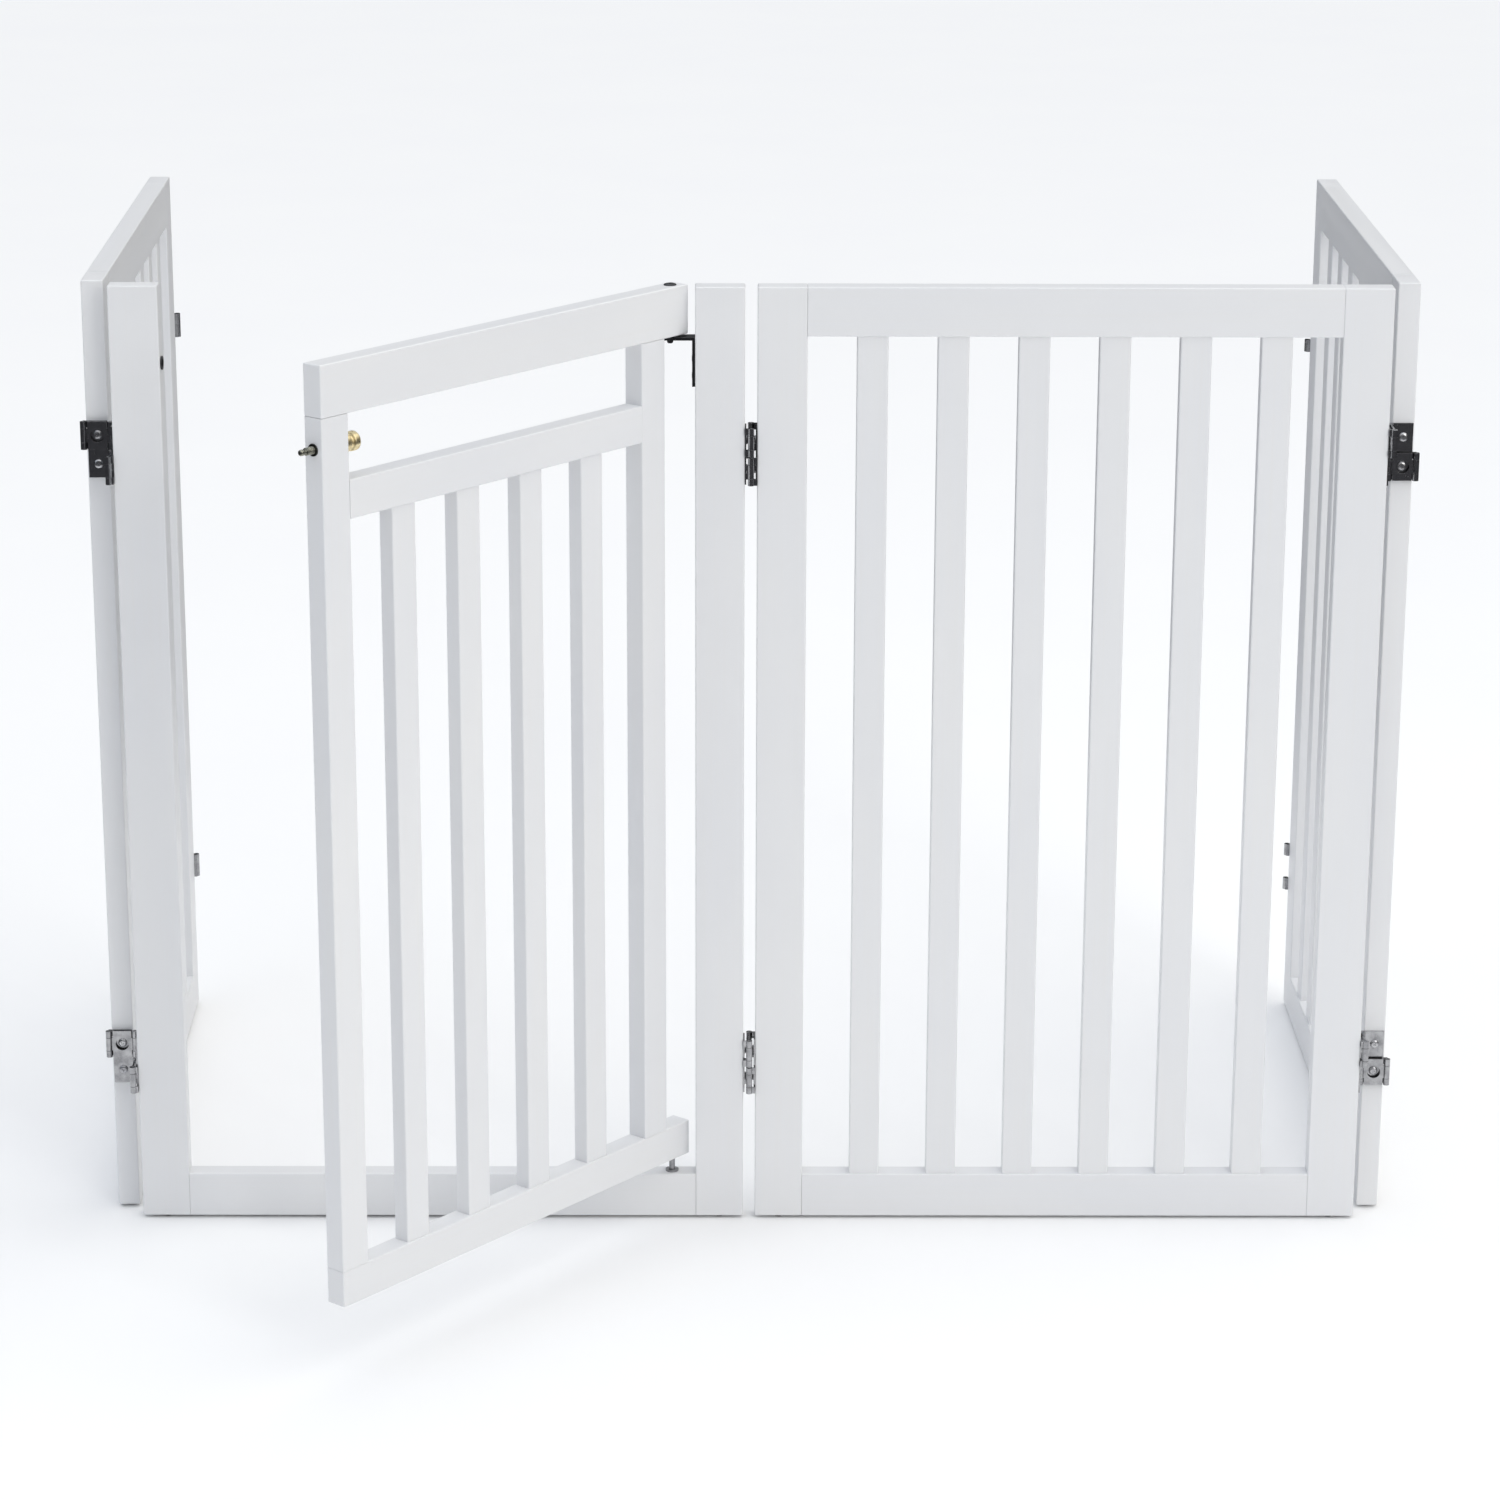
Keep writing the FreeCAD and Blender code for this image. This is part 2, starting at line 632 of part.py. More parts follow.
pivot_bracket()
BOLT_LONG = "bolt_head_high + upper_rail + bracket_thick + bolt_past"
top_bolt = lathe("top_pivot_bolt", [
    ("0", "0"),
    ("0", "bolt_head * 0.28"),
    ("bolt_head_high * 0.45", "bolt_head * 0.44"),
    ("bolt_head_high", "bolt_head / 2"),
    ("bolt_head_high", "pivot_across / 2"),
    (BOLT_LONG, "pivot_across / 2"),
    (f"{BOLT_LONG} + bolt_end", "pivot_across / 2 - bolt_end"),
    (f"{BOLT_LONG} + bolt_end", "0"),
])
keep(top_bolt, DOOR * turned_to(DOWN, z=size["gate_top"] + size["bolt_head_high"]))


def washer(label, place, thick):
    inner = "pivot_across / 2 + washer_play"
    profile = [("0", inner), ("0", "washer_across / 2"), (thick, "washer_across / 2"), (thick, inner)]
    keep(lathe(label, profile), place)


washer("top_pivot_washer", DOOR * turned_to(DOWN, z=HIGH_RAIL_BOTTOM), "washer_thick")
PIVOT_FOOT = FRAME * shift(PIVOT_X, THICK / 2)
washer("lower_pivot_washer", PIVOT_FOOT * turned_to(UP, z=LOW_RAIL_TOP), "lower_washer")
LOW_PIN = "2 * pivot_deep + door_bottom - lower_rail - foot_high"
low_pin = lathe("lower_pivot_pin", [
    ("0", "0"),
    ("0", "pivot_across / 2"),
    (f"{LOW_PIN} - low_pin_end", "pivot_across / 2"),
    (LOW_PIN, "pivot_across / 2 - low_pin_end"),
    (LOW_PIN, "0"),
])
keep(low_pin, PIVOT_FOOT * turned_to(UP, z=LOW_RAIL_TOP - size["pivot_deep"]))


# ---------------------------------------- latch, along the door from its free edge inwards

LATCH = DOOR * shift(DOOR_EDGE, 0, size["latch_height"])
BUSH_BORE = "rod_across / 2 + pin_play"
bush = lathe("latch_guide_bush", [
    ("-bush_flange_thick", BUSH_BORE),
    ("-bush_flange_thick", "bush_flange / 2"),
    ("0", "bush_flange / 2"),
    ("0", "latch_bore / 2"),
    ("bush_deep", "latch_bore / 2"),
    ("bush_deep", BUSH_BORE),
])
keep(bush, LATCH)

COLLAR = "bush_deep + knuckle_play"
ROD_END = "door_stile + knuckle_play + knob_hole"
bolt = lathe("latch_bolt_rod", [
    ("-rod_out", "0"),
    ("-rod_out", "rod_nose / 2 - nose_end"),
    ("-rod_out + nose_end", "rod_nose / 2"),
    ("-rod_out + nose_long", "rod_nose / 2"),
    ("-rod_out + nose_long + nose_taper", "rod_across / 2"),
    (COLLAR, "rod_across / 2"),
    (COLLAR, "collar_across / 2"),
    (f"{COLLAR} + collar_long", "collar_across / 2"),
    (f"{COLLAR} + collar_long", "rod_rear / 2"),
    (ROD_END, "rod_rear / 2"),
    (ROD_END, "0"),
])
keep(bolt, LATCH)

knob = lathe("latch_knob", [
    ("0", "rod_rear / 2"),
    ("0", "knob_across / 2 - knob_edge"),
    ("knob_edge", "knob_across / 2"),
    ("knob_long * 0.36", "knob_across / 2"),
    ("knob_long * 0.42", "knob_waist / 2"),
    ("knob_long * 0.55", "knob_waist / 2"),
    ("knob_long * 0.61", "knob_across / 2"),
    ("knob_long - knob_edge", "knob_across / 2"),
    ("knob_long", "knob_across / 2 - knob_edge"),
    ("knob_long", "0"),
    ("knob_hole", "0"),
    ("knob_hole", "rod_rear / 2"),
])
keep(knob, LATCH * shift(size["door_stile"] + size["knuckle_play"]))


def latch_spring():
    """A coil round the rod, from its collar to the end of its bore."""
    helix = doc.addObject("Part::Helix", "Coil")
    long = "door_stile - latch_wall - bush_deep - knuckle_play - collar_long - spring_wire - 2 * spring_play"
    bind(helix, "Pitch", f"({long}) / spring_turns")
    bind(helix, "Height", long)
    bind(helix, "Radius", "(spring_across - spring_wire) / 2")
    ring = doc.addObject("Part::Circle", "Wire")
    bind(ring, "Radius", "spring_wire / 2")
    mean = (size["spring_across"] - size["spring_wire"]) / 2
    ring.Placement = FreeCAD.Placement(V(mean, 0, 0), FreeCAD.Rotation(ALONG, 90))
    doc.recompute()
    coil = doc.addObject("Part::Sweep", "latch_spring")
    coil.Sections = [ring]
    coil.Spine = (helix, ["Edge1"])
    coil.Solid = True
    coil.Frenet = True
    collar_end = size["bush_deep"] + size["knuckle_play"] + size["collar_long"]
    start = collar_end + size["spring_wire"] / 2 + size["spring_play"]
    keep(coil, LATCH * FreeCAD.Placement(V(start, 0, 0), FreeCAD.Rotation(UP, ALONG)))


latch_spring()

strike = lathe("strike_bush", [
    ("strike_flange_thick", "strike_bore / 2"),
    ("strike_flange_thick", "strike_flange / 2"),
    ("0", "strike_flange / 2"),
    ("0", "strike_across / 2"),
    ("-strike_long", "strike_across / 2"),
    ("-strike_long", "strike_bore / 2"),
])
keep(strike, FRAME * shift(STILE, THICK / 2, size["latch_height"]))


# ---------------------------------------- whole gate: origin under its middle, on the floor

doc.recompute()
for thing in doc.Objects:
    if "Invalid" in thing.State or "Error" in thing.State:
        raise RuntimeError(f"{thing.Label} failed: {thing.State}")
boxes = [thing.Shape.optimalBoundingBox() for thing in kept.values()]
middle_x = (min(b.XMin for b in boxes) + max(b.XMax for b in boxes)) / 2
middle_y = (min(b.YMin for b in boxes) + max(b.YMax for b in boxes)) / 2
centred = shift(-middle_x, -middle_y)
for thing in kept.values():
    thing.Placement = centred * thing.Placement
doc.recompute()

os.makedirs("parts", exist_ok=True)
for label, thing in kept.items():
    shape = thing.Shape
    if shape.isNull() or not shape.isValid():
        raise RuntimeError(f"{label} has no sound shape")
for label, thing in kept.items():
    thing.Shape.exportStep(f"parts/{label}.step")
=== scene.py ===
import json
import math

import bmesh
import bpy
import numpy as np
from mathutils import Matrix, Vector

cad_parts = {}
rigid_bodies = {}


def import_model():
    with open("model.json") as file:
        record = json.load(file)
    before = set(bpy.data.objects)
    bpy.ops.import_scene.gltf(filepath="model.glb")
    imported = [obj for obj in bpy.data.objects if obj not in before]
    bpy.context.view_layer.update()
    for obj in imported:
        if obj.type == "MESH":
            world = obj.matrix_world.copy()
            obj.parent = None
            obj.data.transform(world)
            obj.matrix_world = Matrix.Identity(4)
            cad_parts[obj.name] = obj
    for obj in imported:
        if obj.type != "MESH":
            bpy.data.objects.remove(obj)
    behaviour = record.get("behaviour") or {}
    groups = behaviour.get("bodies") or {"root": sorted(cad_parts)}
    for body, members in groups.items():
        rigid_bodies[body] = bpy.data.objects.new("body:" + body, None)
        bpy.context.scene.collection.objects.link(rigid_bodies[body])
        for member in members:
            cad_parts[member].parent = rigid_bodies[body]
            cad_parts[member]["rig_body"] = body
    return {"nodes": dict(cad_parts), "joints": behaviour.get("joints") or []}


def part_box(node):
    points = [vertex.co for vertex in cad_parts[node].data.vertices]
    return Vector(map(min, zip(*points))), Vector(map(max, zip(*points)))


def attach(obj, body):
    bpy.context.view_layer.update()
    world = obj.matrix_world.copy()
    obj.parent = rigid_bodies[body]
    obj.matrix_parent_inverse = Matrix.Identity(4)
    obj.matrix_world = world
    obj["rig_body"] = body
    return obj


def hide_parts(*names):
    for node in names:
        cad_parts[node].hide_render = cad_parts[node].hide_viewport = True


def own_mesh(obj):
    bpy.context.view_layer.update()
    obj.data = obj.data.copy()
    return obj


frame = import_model()
nodes = frame["nodes"]
joints = {joint["name"]: joint for joint in frame["joints"]}
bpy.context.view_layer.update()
scene = bpy.context.scene

MM = 0.001


# ---------------------------------------- measuring the frame

def loose_parts(node):
    """The separate solids of a CAD node, each as an array of its points."""
    mesh = bmesh.new()
    mesh.from_mesh(nodes[node].data)
    bmesh.ops.remove_doubles(mesh, verts=mesh.verts, dist=1e-6)
    left = set(mesh.verts)
    parts = []
    while left:
        todo = [left.pop()]
        found = []
        while todo:
            vert = todo.pop()
            found.append(vert.co[:])
            near = {edge.other_vert(vert) for edge in vert.link_edges} & left
            left -= near
            todo.extend(near)
        parts.append(np.array(found))
    mesh.free()
    return sorted(parts, key=lambda part: tuple(part.mean(0).round(4)))


def long_axis(points):
    """The direction in which a part is longest."""
    spread = points - (points.min(0) + points.max(0)) / 2
    return Vector(np.linalg.svd(spread, full_matrices=False)[2][0])


def headed_shaft(points):
    """Where a screw's head ends and the direction from there into the wood."""
    axis = np.array(long_axis(points))
    along = points @ axis
    across = points - np.outer(along, axis)
    radius = np.linalg.norm(across - across.mean(0), axis=1)
    middle = (along.min() + along.max()) / 2
    if radius[along > middle].max() > radius[along < middle].max():
        axis, along = -axis, -along
    centre = (across.min(0) + across.max(0)) / 2 + axis * along.min()
    return Vector(centre), Vector(axis)


# ---------------------------------------- shader building

class Shader:
    """A material under construction: a few short calls for the nodes that the finishes share."""

    def __init__(self, name):
        self.material = bpy.data.materials.new(name)
        self.material.use_nodes = True
        self.tree = self.material.node_tree
        self.surface = self.tree.nodes["Principled BSDF"]

    def add(self, kind, **settings):
        node = self.tree.nodes.new(kind)
        for key, value in settings.items():
            setattr(node, key, value)
        return node

    def join(self, source, target):
        self.tree.links.new(source, target)

    def place(self, scale, turn=(0, 0, 0)):
        """Object coordinates, turned and stretched."""
        coordinates = self.add("ShaderNodeTexCoord")
        turned = self.add("ShaderNodeVectorRotate", rotation_type="EULER_XYZ")
        turned.inputs["Rotation"].default_value = turn
        stretched = self.add("ShaderNodeMapping")
        stretched.inputs["Scale"].default_value = scale
        self.join(coordinates.outputs["Object"], turned.inputs["Vector"])
        self.join(turned.outputs["Vector"], stretched.inputs["Vector"])
        return stretched.outputs["Vector"]

    def noise(self, place, detail):
        node = self.add("ShaderNodeTexNoise")
        node.inputs["Scale"].default_value = 1.0
        node.inputs["Detail"].default_value = detail
        node.inputs["Roughness"].default_value = 0.55
        self.join(place, node.inputs["Vector"])
        return node.outputs["Fac"]

    def spread(self, value, low, high, start=0.3, end=0.7):
        """A value from start to end becomes one from low to high."""
        node = self.add("ShaderNodeMapRange")
        for key, number in (("From Min", start), ("From Max", end), ("To Min", low), ("To Max", high)):
            node.inputs[key].default_value = number
        self.join(value, node.inputs["Value"])
        return node.outputs["Result"]

    def maths(self, operation, first, second):
        node = self.add("ShaderNodeMath", operation=operation)
        for socket, value in zip(node.inputs, (first, second)):
            if isinstance(value, (int, float)):
                socket.default_value = value
            else:
                self.join(value, socket)
        return node.outputs["Value"]

    def mixed(self, factor, first, second):
        """A colour between two, by a factor. Each is a colour or a socket."""
        node = self.add("ShaderNodeMix", data_type="RGBA")
        for socket, value in ((node.inputs[0], factor), (node.inputs[6], first), (node.inputs[7], second)):
            if isinstance(value, tuple):
                socket.default_value = (*value, 1.0)
            else:
                self.join(value, socket)
        return node.outputs[2]

    def edges(self, radius):
        """Near 1 on sharp edges and 0 on flat faces."""
        soft = self.add("ShaderNodeBevel", samples=2)
        soft.inputs["Radius"].default_value = radius
        flat = self.add("ShaderNodeNewGeometry")
        dot = self.add("ShaderNodeVectorMath", operation="DOT_PRODUCT")
        self.join(soft.outputs["Normal"], dot.inputs[0])
        self.join(flat.outputs["Normal"], dot.inputs[1])
        return self.spread(dot.outputs["Value"], 0.0, 1.0, 0.995, 0.8)

    def relief(self, heights, bevel=0.0):
        """Bumps stacked in order, each (height, depth in metres, strength), over rounded edges."""
        normal = None
        if bevel:
            soft = self.add("ShaderNodeBevel", samples=2)
            soft.inputs["Radius"].default_value = bevel
            normal = soft.outputs["Normal"]
        for height, depth, strength in heights:
            bump = self.add("ShaderNodeBump")
            bump.inputs["Distance"].default_value = depth
            bump.inputs["Strength"].default_value = strength
            self.join(height, bump.inputs["Height"])
            if normal:
                self.join(normal, bump.inputs["Normal"])
            normal = bump.outputs["Normal"]
        self.join(normal, self.surface.inputs["Normal"])

    def set(self, **values):
        for key, value in values.items():
            socket = self.surface.inputs[key.replace("_", " ")]
            if isinstance(value, tuple):
                socket.default_value = (*value, 1.0)
            elif isinstance(value, (int, float)):
                socket.default_value = value
            else:
                self.join(value, socket)
        return self.material


# ---------------------------------------- materials

PAINT = (0.81, 0.813, 0.82)
PAINT_COOL = (0.78, 0.788, 0.81)
PAINT_WARM = (0.78, 0.765, 0.73)


def painted_wood(name, turn):
    """Satin white paint on planed wood. The turn lays the grain, which runs along x, along the board."""
    s = Shader(name)
    grain = s.noise(s.place((5, 420, 420), turn), detail=6)
    figure = s.noise(s.place((1.5, 60, 60), turn), detail=3)
    brush = s.noise(s.place((30, 1500, 1500), turn), detail=2)
    peel = s.noise(s.place((900, 900, 900)), detail=2)
    cloud = s.noise(s.place((4, 9, 9), turn), detail=3)
    worn = s.edges(0.9 * MM)
    patchy = s.spread(s.noise(s.place((45, 45, 45)), detail=3), 0.0, 1.0, 0.45, 0.7)
    wear = s.maths("MULTIPLY", worn, s.maths("MULTIPLY", patchy, 0.35))
    colour = s.mixed(s.spread(cloud, 0.0, 1.0), PAINT, PAINT_COOL)
    streaks = s.mixed(s.spread(grain, 0.0, 0.18, 0.5, 0.8), colour, PAINT_WARM)
    colour = s.mixed(wear, streaks, (0.74, 0.69, 0.60))
    rough = s.maths("ADD", s.spread(figure, 0.34, 0.46), s.spread(peel, -0.03, 0.04))
    s.relief([
        (figure, 0.25 * MM, 0.25),
        (grain, 0.10 * MM, 0.35),
        (brush, 0.03 * MM, 0.3),
        (peel, 0.04 * MM, 0.25),
    ])
    s.set(Coat_Weight=0.12, Coat_Roughness=0.25, Specular_IOR_Level=0.45)
    return s.set(Base_Color=colour, Roughness=rough)


def metal(name, colour, dark, rough, bevel, scratch=1.0, edge=None):
    """Metal with fine scratches, clouded gloss and rubbed edges. The bevel is in millimetres."""
    bevel = bevel * MM
    s = Shader(name)
    cloud = s.noise(s.place((160, 160, 160)), detail=4)
    scratches = s.noise(s.place((90, 2600, 700), (0.4, 0.3, 0.6)), detail=5)
    grit = s.noise(s.place((5200, 5200, 5200)), detail=2)
    base = s.mixed(s.spread(cloud, 0.0, 1.0), colour, dark)
    if edge:
        base = s.mixed(s.maths("MULTIPLY", s.edges(bevel * 1.6), 0.7), base, edge)
    low, high = rough
    gloss = s.maths("ADD", s.spread(cloud, low, high), s.spread(scratches, -0.04, 0.07))
    s.relief([(scratches, 0.012 * MM, 0.3 * scratch), (grit, 0.006 * MM, 0.3)], bevel)
    return s.set(Base_Color=base, Roughness=gloss, Metallic=1.0)


def black_nylon():
    s = Shader("black_nylon")
    grain = s.noise(s.place((2600, 2600, 2600)), detail=3)
    scuff = s.noise(s.place((300, 900, 300)), detail=4)
    colour = s.mixed(s.spread(scuff, 0.0, 1.0), (0.018, 0.018, 0.019), (0.05, 0.05, 0.052))
    s.relief([(grain, 0.03 * MM, 0.4)], 0.15 * MM)
    return s.set(Base_Color=colour, Roughness=s.spread(scuff, 0.42, 0.66))


UPRIGHT = (0, math.pi / 2, 0)
PLATED = metal("plated_steel", (0.46, 0.46, 0.47), (0.28, 0.28, 0.29), (0.12, 0.24), 0.18)
SCREW_STEEL = metal("screw_steel", (0.62, 0.62, 0.63), (0.42, 0.42, 0.44), (0.22, 0.34), 0.10)
PIN_STEEL = metal("pin_steel", (0.30, 0.31, 0.33), (0.20, 0.21, 0.23), (0.22, 0.36), 0.10)
DARK_STEEL = metal(
    "dark_steel", (0.075, 0.075, 0.08), (0.04, 0.04, 0.043), (0.30, 0.46), 0.2,
    scratch=1.5, edge=(0.3, 0.3, 0.31),
)
ROD_STEEL = metal(
    "rod_steel", (0.40, 0.40, 0.41), (0.28, 0.28, 0.29), (0.24, 0.38), 0.10,
    scratch=2.0, edge=(0.5, 0.5, 0.5),
)
BOLT_STEEL = metal(
    "bolt_steel", (0.42, 0.41, 0.33), (0.22, 0.22, 0.19), (0.2, 0.34), 0.10,
    scratch=2.0, edge=(0.5, 0.49, 0.42),
)
WASHER_STEEL = metal("washer_steel", (0.42, 0.42, 0.43), (0.3, 0.3, 0.31), (0.28, 0.42), 0.10)
SPRING_STEEL = metal("spring_steel", (0.48, 0.48, 0.49), (0.36, 0.35, 0.34), (0.2, 0.35), 0.05)
KNOB_BRASS = metal(
    "knob_brass", (0.92, 0.80, 0.50), (0.84, 0.68, 0.38), (0.24, 0.38), 0.25, edge=(0.96, 0.88, 0.64)
)
BUSH_BRASS = metal("bush_brass", (0.10, 0.10, 0.085), (0.05, 0.05, 0.045), (0.28, 0.42), 0.12)
NYLON = black_nylon()


def finish(piece, material):
    piece.data.materials.clear()
    piece.data.materials.append(material)


def grain_materials():
    """Each board gets paint whose grain runs along it. Boards that lie the same way share one material."""
    made = {}
    for name, node in nodes.items():
        if not name.endswith(("stile", "rail", "slats")):
            continue
        axis = Vector((0, 0, 1)) if name.endswith(("stile", "slats")) else long_axis(loose_parts(name)[0])
        angle = 90 if abs(axis.z) > 0.9 else round(math.degrees(math.atan2(axis.y, axis.x))) % 180
        key = ("upright" if abs(axis.z) > 0.9 else "across", angle)
        if key not in made:
            turn = UPRIGHT if key[0] == "upright" else (0, 0, -math.radians(angle))
            made[key] = painted_wood(f"paint_{key[0]}_{angle}", turn)
        finish(node, made[key])


grain_materials()
for name, node in nodes.items():
    if name.endswith(("leaves", "links", "half_hinges")):
        finish(node, PLATED)
    elif name.endswith("pins"):
        finish(node, PIN_STEEL)
    elif name.endswith("screws"):
        finish(node, SCREW_STEEL)
    elif name.endswith("washer"):
        finish(node, WASHER_STEEL)
    elif name.endswith("feet"):
        finish(node, NYLON)
for name, material in (
    ("pivot_bracket", DARK_STEEL),
    ("top_pivot_bolt", DARK_STEEL),
    ("strike_bush", DARK_STEEL),
    ("lower_pivot_pin", ROD_STEEL),
    ("latch_bolt_rod", ROD_STEEL),
    ("latch_spring", SPRING_STEEL),
    ("latch_guide_bush", BUSH_BRASS),
    ("latch_knob", KNOB_BRASS),
):
    finish(nodes[name], material)


# ---------------------------------------- turned pieces and screws

def lathe(profile, sides=48):
    """A mesh turned about x, from (distance along the axis, radius) pairs in millimetres."""
    mesh = bmesh.new()
    rings = []
    for along, radius in profile:
        if radius < 1e-6:
            rings.append([mesh.verts.new((along * MM, 0, 0))])
            continue
        ring = []
        for i in range(sides):
            angle = 2 * math.pi * i / sides
            point = Vector((along, radius * math.cos(angle), radius * math.sin(angle)))
            ring.append(mesh.verts.new(point * MM))
        rings.append(ring)
    for first, second in zip(rings, rings[1:]):
        for i in range(sides):
            a, b = first[i % len(first)], first[(i + 1) % len(first)]
            c, d = second[(i + 1) % len(second)], second[i % len(second)]
            mesh.faces.new([v for k, v in enumerate((a, b, c, d)) if v not in (a, b, c, d)[:k]])
    bmesh.ops.recalc_face_normals(mesh, faces=mesh.faces)
    return mesh


def softened(corners, steps=4):
    """A profile with rounded corners: (along, radius, how much the corner is rounded) in, points out."""
    points = []
    for i, (x, r, soft) in enumerate(corners):
        here = Vector((x, r))
        if soft and 0 < i < len(corners) - 1:
            before = (Vector(corners[i - 1][:2]) - here).normalized() * soft + here
            after = (Vector(corners[i + 1][:2]) - here).normalized() * soft + here
            for k in range(steps + 1):
                t = k / steps
                p = before * (1 - t) ** 2 + here * 2 * t * (1 - t) + after * t ** 2
                points.append((p.x, p.y))
        else:
            points.append((x, r))
    return points


def cross_cut(mesh, wide, across, deep):
    """Cuts a cross recess with tapering arms into the end of a turned piece at x = 0."""
    body = object_of("Turned", mesh)
    tool = bmesh.new()
    for angle in (0, math.pi / 2):
        arm = bmesh.ops.create_cube(tool, size=1.0)["verts"]
        for v in arm:
            inner = 0.55 if v.co.x > 0 else 1.0
            v.co = Vector((v.co.x * 2 * deep * MM, v.co.y * across * MM * inner, v.co.z * wide * MM))
        bmesh.ops.rotate(tool, verts=arm, cent=(0, 0, 0), matrix=Matrix.Rotation(angle, 3, "X"))
    cutter = object_of("Cross", tool)
    cut = body.modifiers.new("Cut", "BOOLEAN")
    cut.operation = "DIFFERENCE"
    cut.solver = "EXACT"
    cut.use_self = True
    cut.object = cutter
    bpy.context.view_layer.update()
    made = bpy.data.meshes.new_from_object(body.evaluated_get(bpy.context.evaluated_depsgraph_get()))
    for thing in (body, cutter):
        bpy.data.objects.remove(thing)
    result = bmesh.new()
    result.from_mesh(made)
    return result


def object_of(name, mesh):
    data = bpy.data.meshes.new(name)
    mesh.to_mesh(data)
    mesh.free()
    piece = bpy.data.objects.new(name, data)
    scene.collection.objects.link(piece)
    return piece


def smooth(piece, degrees=35):
    """Smooth shading, with edges sharper than the angle kept sharp."""
    data = piece.data
    data.shade_smooth()
    data.set_sharp_from_angle(angle=math.radians(degrees))


def placed(mesh, centre, axis, spin=0.0):
    """A copy of a turned mesh, its x axis laid along another and turned about it."""
    turn = axis.to_track_quat("X", "Z").to_matrix().to_4x4()
    copy = mesh.copy()
    copy.transform(Matrix.Translation(centre) @ turn @ Matrix.Rotation(spin, 4, "X"))
    return copy


def merged(meshes):
    whole = bmesh.new()
    for mesh in meshes:
        data = bpy.data.meshes.new("Part")
        mesh.to_mesh(data)
        mesh.free()
        whole.from_mesh(data)
        bpy.data.meshes.remove(data)
    return whole


def stands_for(name, node, meshes, material):
    piece = object_of(name, merged(meshes))
    finish(piece, material)
    smooth(piece)
    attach(piece, nodes[node]["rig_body"])
    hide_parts(node)
    return piece


SCREW_PROFILE = softened([
    (0.0, 0.0, 0),
    (0.0, 2.6, 1.1),
    (0.9, 3.75, 0.5),
    (1.5, 3.75, 0.15),
    (1.5, 1.75, 0),
    (12.7, 1.75, 0),
    (16.2, 0.0, 0),
])
SUNK = 1.2 * MM
screw = cross_cut(lathe(SCREW_PROFILE, 32), 0.75, 4.0, 0.9)
BRACKET_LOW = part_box("pivot_bracket")[0].z
for panel in ("left_panel", "frame", "plain_panel", "right_panel"):
    node = f"{panel}_screws"
    copies = []
    for i, part in enumerate(loose_parts(node)):
        centre, axis = headed_shaft(part)
        if centre.z > BRACKET_LOW:
            centre = centre + axis * SUNK
        copies.append(placed(screw, centre, axis, 0.35 + 1.9 * i))
    stands_for(f"{panel}_screws_cross", node, copies, SCREW_STEEL)

centre, axis = headed_shaft(loose_parts("top_pivot_bolt")[0])
pivot_bolt = lathe(softened([
    (1.0, 0.0, 0),
    (1.0, 3.4, 1.2),
    (1.7, 5.0, 0.6),
    (2.5, 5.25, 0.2),
    (2.5, 2.5, 0),
    (48.6, 2.5, 0.3),
    (49.5, 1.9, 0),
    (49.5, 0.0, 0),
]), 48)
pivot_bolt = cross_cut(pivot_bolt, 1.0, 5.4, 1.9)
pivot_bolt = placed(pivot_bolt, centre, axis, 0.6)
stands_for("top_pivot_bolt_cross", "top_pivot_bolt", [pivot_bolt], DARK_STEEL)

inwards = Vector(joints["bolt_slide"]["axis"])
low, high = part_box("latch_knob")
knob_centre = (low + high) / 2
KNOB_LONG = 14.5
knob = lathe(softened([
    (0.0, 0.0, 0),
    (0.0, 7.0, 0.8),
    (0.6, 7.5, 0.4),
    (5.0, 7.5, 0.7),
    (6.1, 5.6, 0.6),
    (8.0, 5.6, 0.6),
    (9.0, 7.5, 0.7),
    (13.9, 7.5, 0.7),
    (KNOB_LONG, 6.6, 0.7),
    (14.2, 0.0, 0),
]), 64)
knob = placed(knob, knob_centre - inwards * KNOB_LONG / 2 * MM, inwards)
stands_for("latch_knob_turned", "latch_knob", [knob], KNOB_BRASS)

low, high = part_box("latch_bolt_rod")
rod_centre = (low + high) / 2
ROD_LONG = 14.5 + 28.0 + 0.3 + 10.0
RIB = ((0.0, 3.0, 0.15), (0.25, 2.7, 0.1), (0.6, 2.7, 0.1), (0.85, 3.0, 0.15))
ribs = [(7.4 + 1.5 * i + step, radius, soft) for i in range(4) for step, radius, soft in RIB]
rod = lathe(softened([
    (0.0, 0.0, 0),
    (0.0, 2.4, 1.6),
    (3.2, 2.4, 0.6),
    (4.0, 1.9, 0.4),
    (5.6, 1.9, 0.3),
    (6.0, 3.0, 0.3),
    *ribs,
    (19.8, 3.0, 0),
    (19.8, 3.6, 0.2),
    (21.3, 3.6, 0.2),
    (21.3, 2.0, 0),
    (ROD_LONG, 2.0, 0),
    (ROD_LONG, 0.0, 0),
]), 40)
rod = placed(rod, rod_centre - inwards * ROD_LONG / 2 * MM, inwards)
stands_for("latch_bolt_turned", "latch_bolt_rod", [rod], BOLT_STEEL)


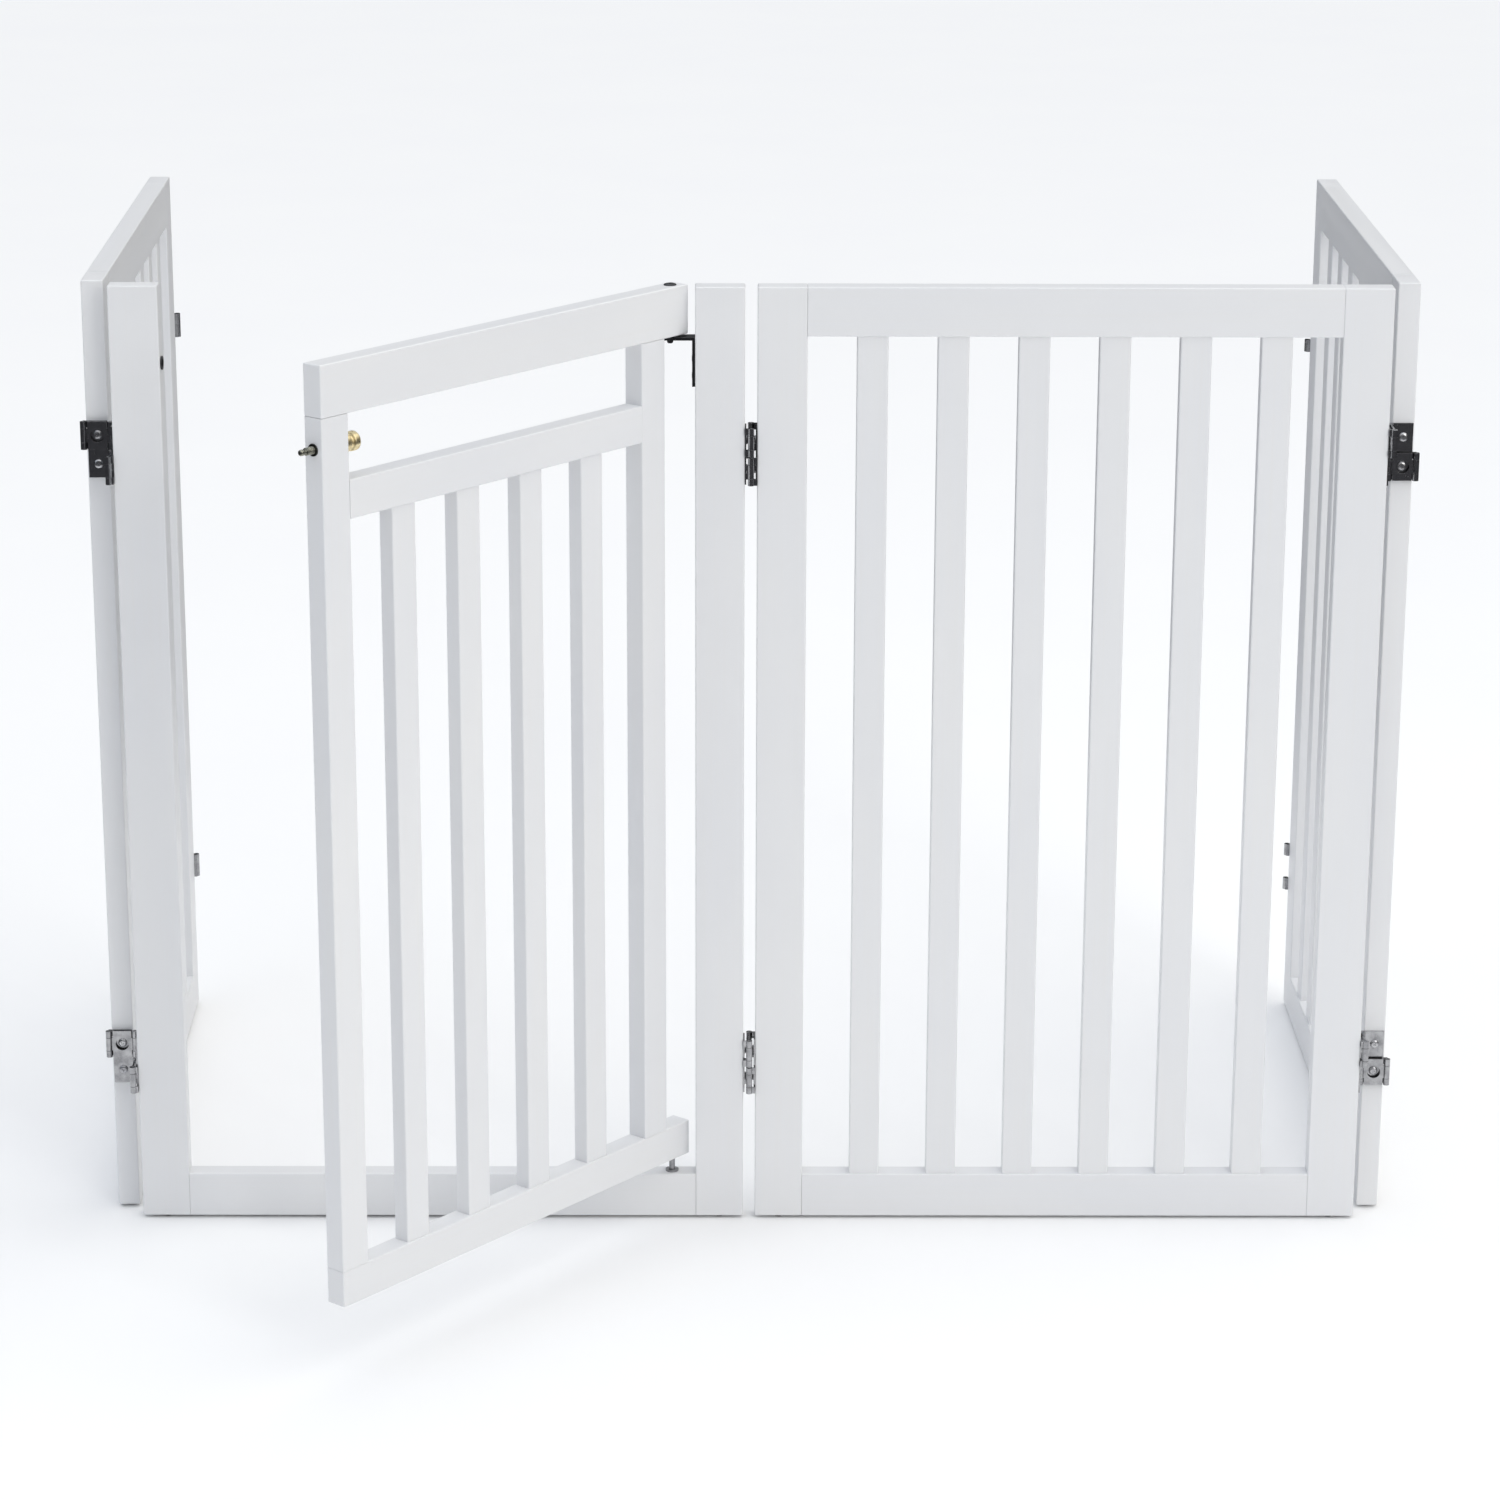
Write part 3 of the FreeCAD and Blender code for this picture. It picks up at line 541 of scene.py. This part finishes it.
def coil(long, mean, wire, turns, steps=24, sides=8):
    """A coil spring's wire about x, centred on the origin. Sizes in millimetres."""
    mesh = bmesh.new()
    rings = []
    count = turns * steps
    for i in range(count + 1):
        angle = 2 * math.pi * i / steps
        out = Vector((0, math.cos(angle), math.sin(angle)))
        middle = Vector((long * (i / count - 0.5), 0, 0)) + out * mean
        ring = []
        for k in range(sides):
            turn = 2 * math.pi * k / sides
            aside = out * math.cos(turn) + Vector((math.sin(turn), 0, 0))
            ring.append(mesh.verts.new((middle + aside * wire) * MM))
        rings.append(ring)
    for first, second in zip(rings, rings[1:]):
        for k in range(sides):
            mesh.faces.new((first[k], first[(k + 1) % sides], second[(k + 1) % sides], second[k]))
    mesh.faces.new(rings[0])
    mesh.faces.new(rings[-1][::-1])
    bmesh.ops.recalc_face_normals(mesh, faces=mesh.faces)
    return mesh


SPRING_LONG = 18.0
WIRE = 0.3
low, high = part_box("latch_spring")
spring_centre = (low + high) / 2
turned_wire = placed(coil(SPRING_LONG - 2 * WIRE, mean=3.2, wire=WIRE, turns=5), spring_centre, inwards)
spring = stands_for("latch_spring_coil", "latch_spring", [turned_wire], SPRING_STEEL)
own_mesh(spring)


# ---------------------------------------- camera, from the hinge line and the front face

hinge_low, hinge_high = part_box("middle_line_upper_links")
HINGE_X = (hinge_low.x + hinge_high.x) / 2
FRONT_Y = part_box("plain_panel_left_stile")[0].y
camera = bpy.data.objects.new("Camera", bpy.data.cameras.new("Camera"))
scene.collection.objects.link(camera)
VIEW_TURNS = ((-0.33, "Z"), (90 - 16.83, "X"), (0.18, "Z"))
view = Matrix.Translation((HINGE_X - 0.0198, FRONT_Y - 3.418, 1.4493))
for degrees, axis in VIEW_TURNS:
    view = view @ Matrix.Rotation(math.radians(degrees), 4, axis)
camera.matrix_world = view
camera.data.sensor_width = 36.0
camera.data.lens = 36.0 * 4349 / 1500
camera.data.clip_end = 100.0
scene.camera = camera


# ---------------------------------------- floor and light

def pale_floor():
    mesh = bmesh.new()
    bmesh.ops.create_circle(mesh, cap_ends=True, segments=96, radius=26.0)
    floor = object_of("floor", mesh)
    s = Shader("floor_paper")
    mottle = s.noise(s.place((3, 3, 3)), detail=3)
    colour = s.mixed(s.spread(mottle, 0.0, 1.0), (0.96, 0.96, 0.96), (0.95, 0.95, 0.955))
    # Painted reflection: to glossy rays only, the floor fades to near-black from 0.9 m to 1.7 m out from
    # the centre, so metal mirrors a dark surround that the camera never sees on the floor.
    away = s.add("ShaderNodeVectorMath", operation="LENGTH")
    s.join(s.add("ShaderNodeNewGeometry").outputs["Position"], away.inputs[0])
    mirrored = s.add("ShaderNodeLightPath").outputs["Is Glossy Ray"]
    dark = s.maths("MULTIPLY", mirrored, s.spread(away.outputs["Value"], 0.0, 1.0, 0.9, 1.7))
    colour = s.mixed(dark, colour, (0.05, 0.05, 0.055))
    finish(floor, s.set(Base_Color=colour, Roughness=0.9, Specular_IOR_Level=0.1))


def lamp(name, place, target, size, watts, colour):
    data = bpy.data.lights.new(name, "AREA")
    data.shape = "RECTANGLE"
    data.size, data.size_y = size
    data.energy = watts
    data.color = colour
    light = bpy.data.objects.new(name, data)
    light.location = place
    light.rotation_euler = (Vector(target) - Vector(place)).to_track_quat("-Z", "Y").to_euler()
    scene.collection.objects.link(light)


def set_stops(ramp, stops):
    for stop, (place, colour) in zip((ramp.elements[0], ramp.elements[1]), stops):
        stop.position = place
        stop.color = (*colour, 1.0)


def dome():
    """Studio light: bright overhead and on the right, bluer on the left and dark at the horizon."""
    world = bpy.data.worlds.new("studio")
    scene.world = world
    world.use_nodes = True
    tree = world.node_tree
    coordinates = tree.nodes.new("ShaderNodeTexCoord")
    split = tree.nodes.new("ShaderNodeSeparateXYZ")
    tree.links.new(coordinates.outputs["Generated"], split.inputs["Vector"])
    height = tree.nodes.new("ShaderNodeValToRGB")
    set_stops(height.color_ramp, ((0.28, (0.04, 0.04, 0.04)), (0.75, (1.0, 1.0, 1.0))))
    tree.links.new(split.outputs["Z"], height.inputs["Fac"])
    across = tree.nodes.new("ShaderNodeMapRange")
    across.inputs["From Min"].default_value = -1.0
    tree.links.new(split.outputs["X"], across.inputs["Value"])
    side = tree.nodes.new("ShaderNodeValToRGB")
    set_stops(side.color_ramp, ((0.2, (0.66, 0.70, 0.77)), (0.8, (1.12, 1.11, 1.08))))
    tree.links.new(across.outputs["Result"], side.inputs["Fac"])
    both = tree.nodes.new("ShaderNodeMix")
    both.data_type = "RGBA"
    both.blend_type = "MULTIPLY"
    both.inputs[0].default_value = 1.0
    tree.links.new(height.outputs["Color"], both.inputs[6])
    tree.links.new(side.outputs["Color"], both.inputs[7])
    tree.links.new(both.outputs[2], tree.nodes["Background"].inputs["Color"])
    tree.nodes["Background"].inputs["Strength"].default_value = 1.45


pale_floor()
dome()
lamp("key_right", (3.0, -4.6, 2.6), (0.0, 0.0, 0.4), (2.0, 2.4), 70, (1.0, 0.99, 0.97))
lamp("fill_left", (-3.2, -2.6, 1.8), (0.0, 0.0, 0.4), (1.4, 1.8), 5, (0.82, 0.91, 1.0))
lamp("overhead", (0.0, 0.2, 3.6), (0.0, 0.0, 0.0), (3.0, 2.4), 8, (1.0, 1.0, 1.0))
scene.view_settings.view_transform = "Standard"
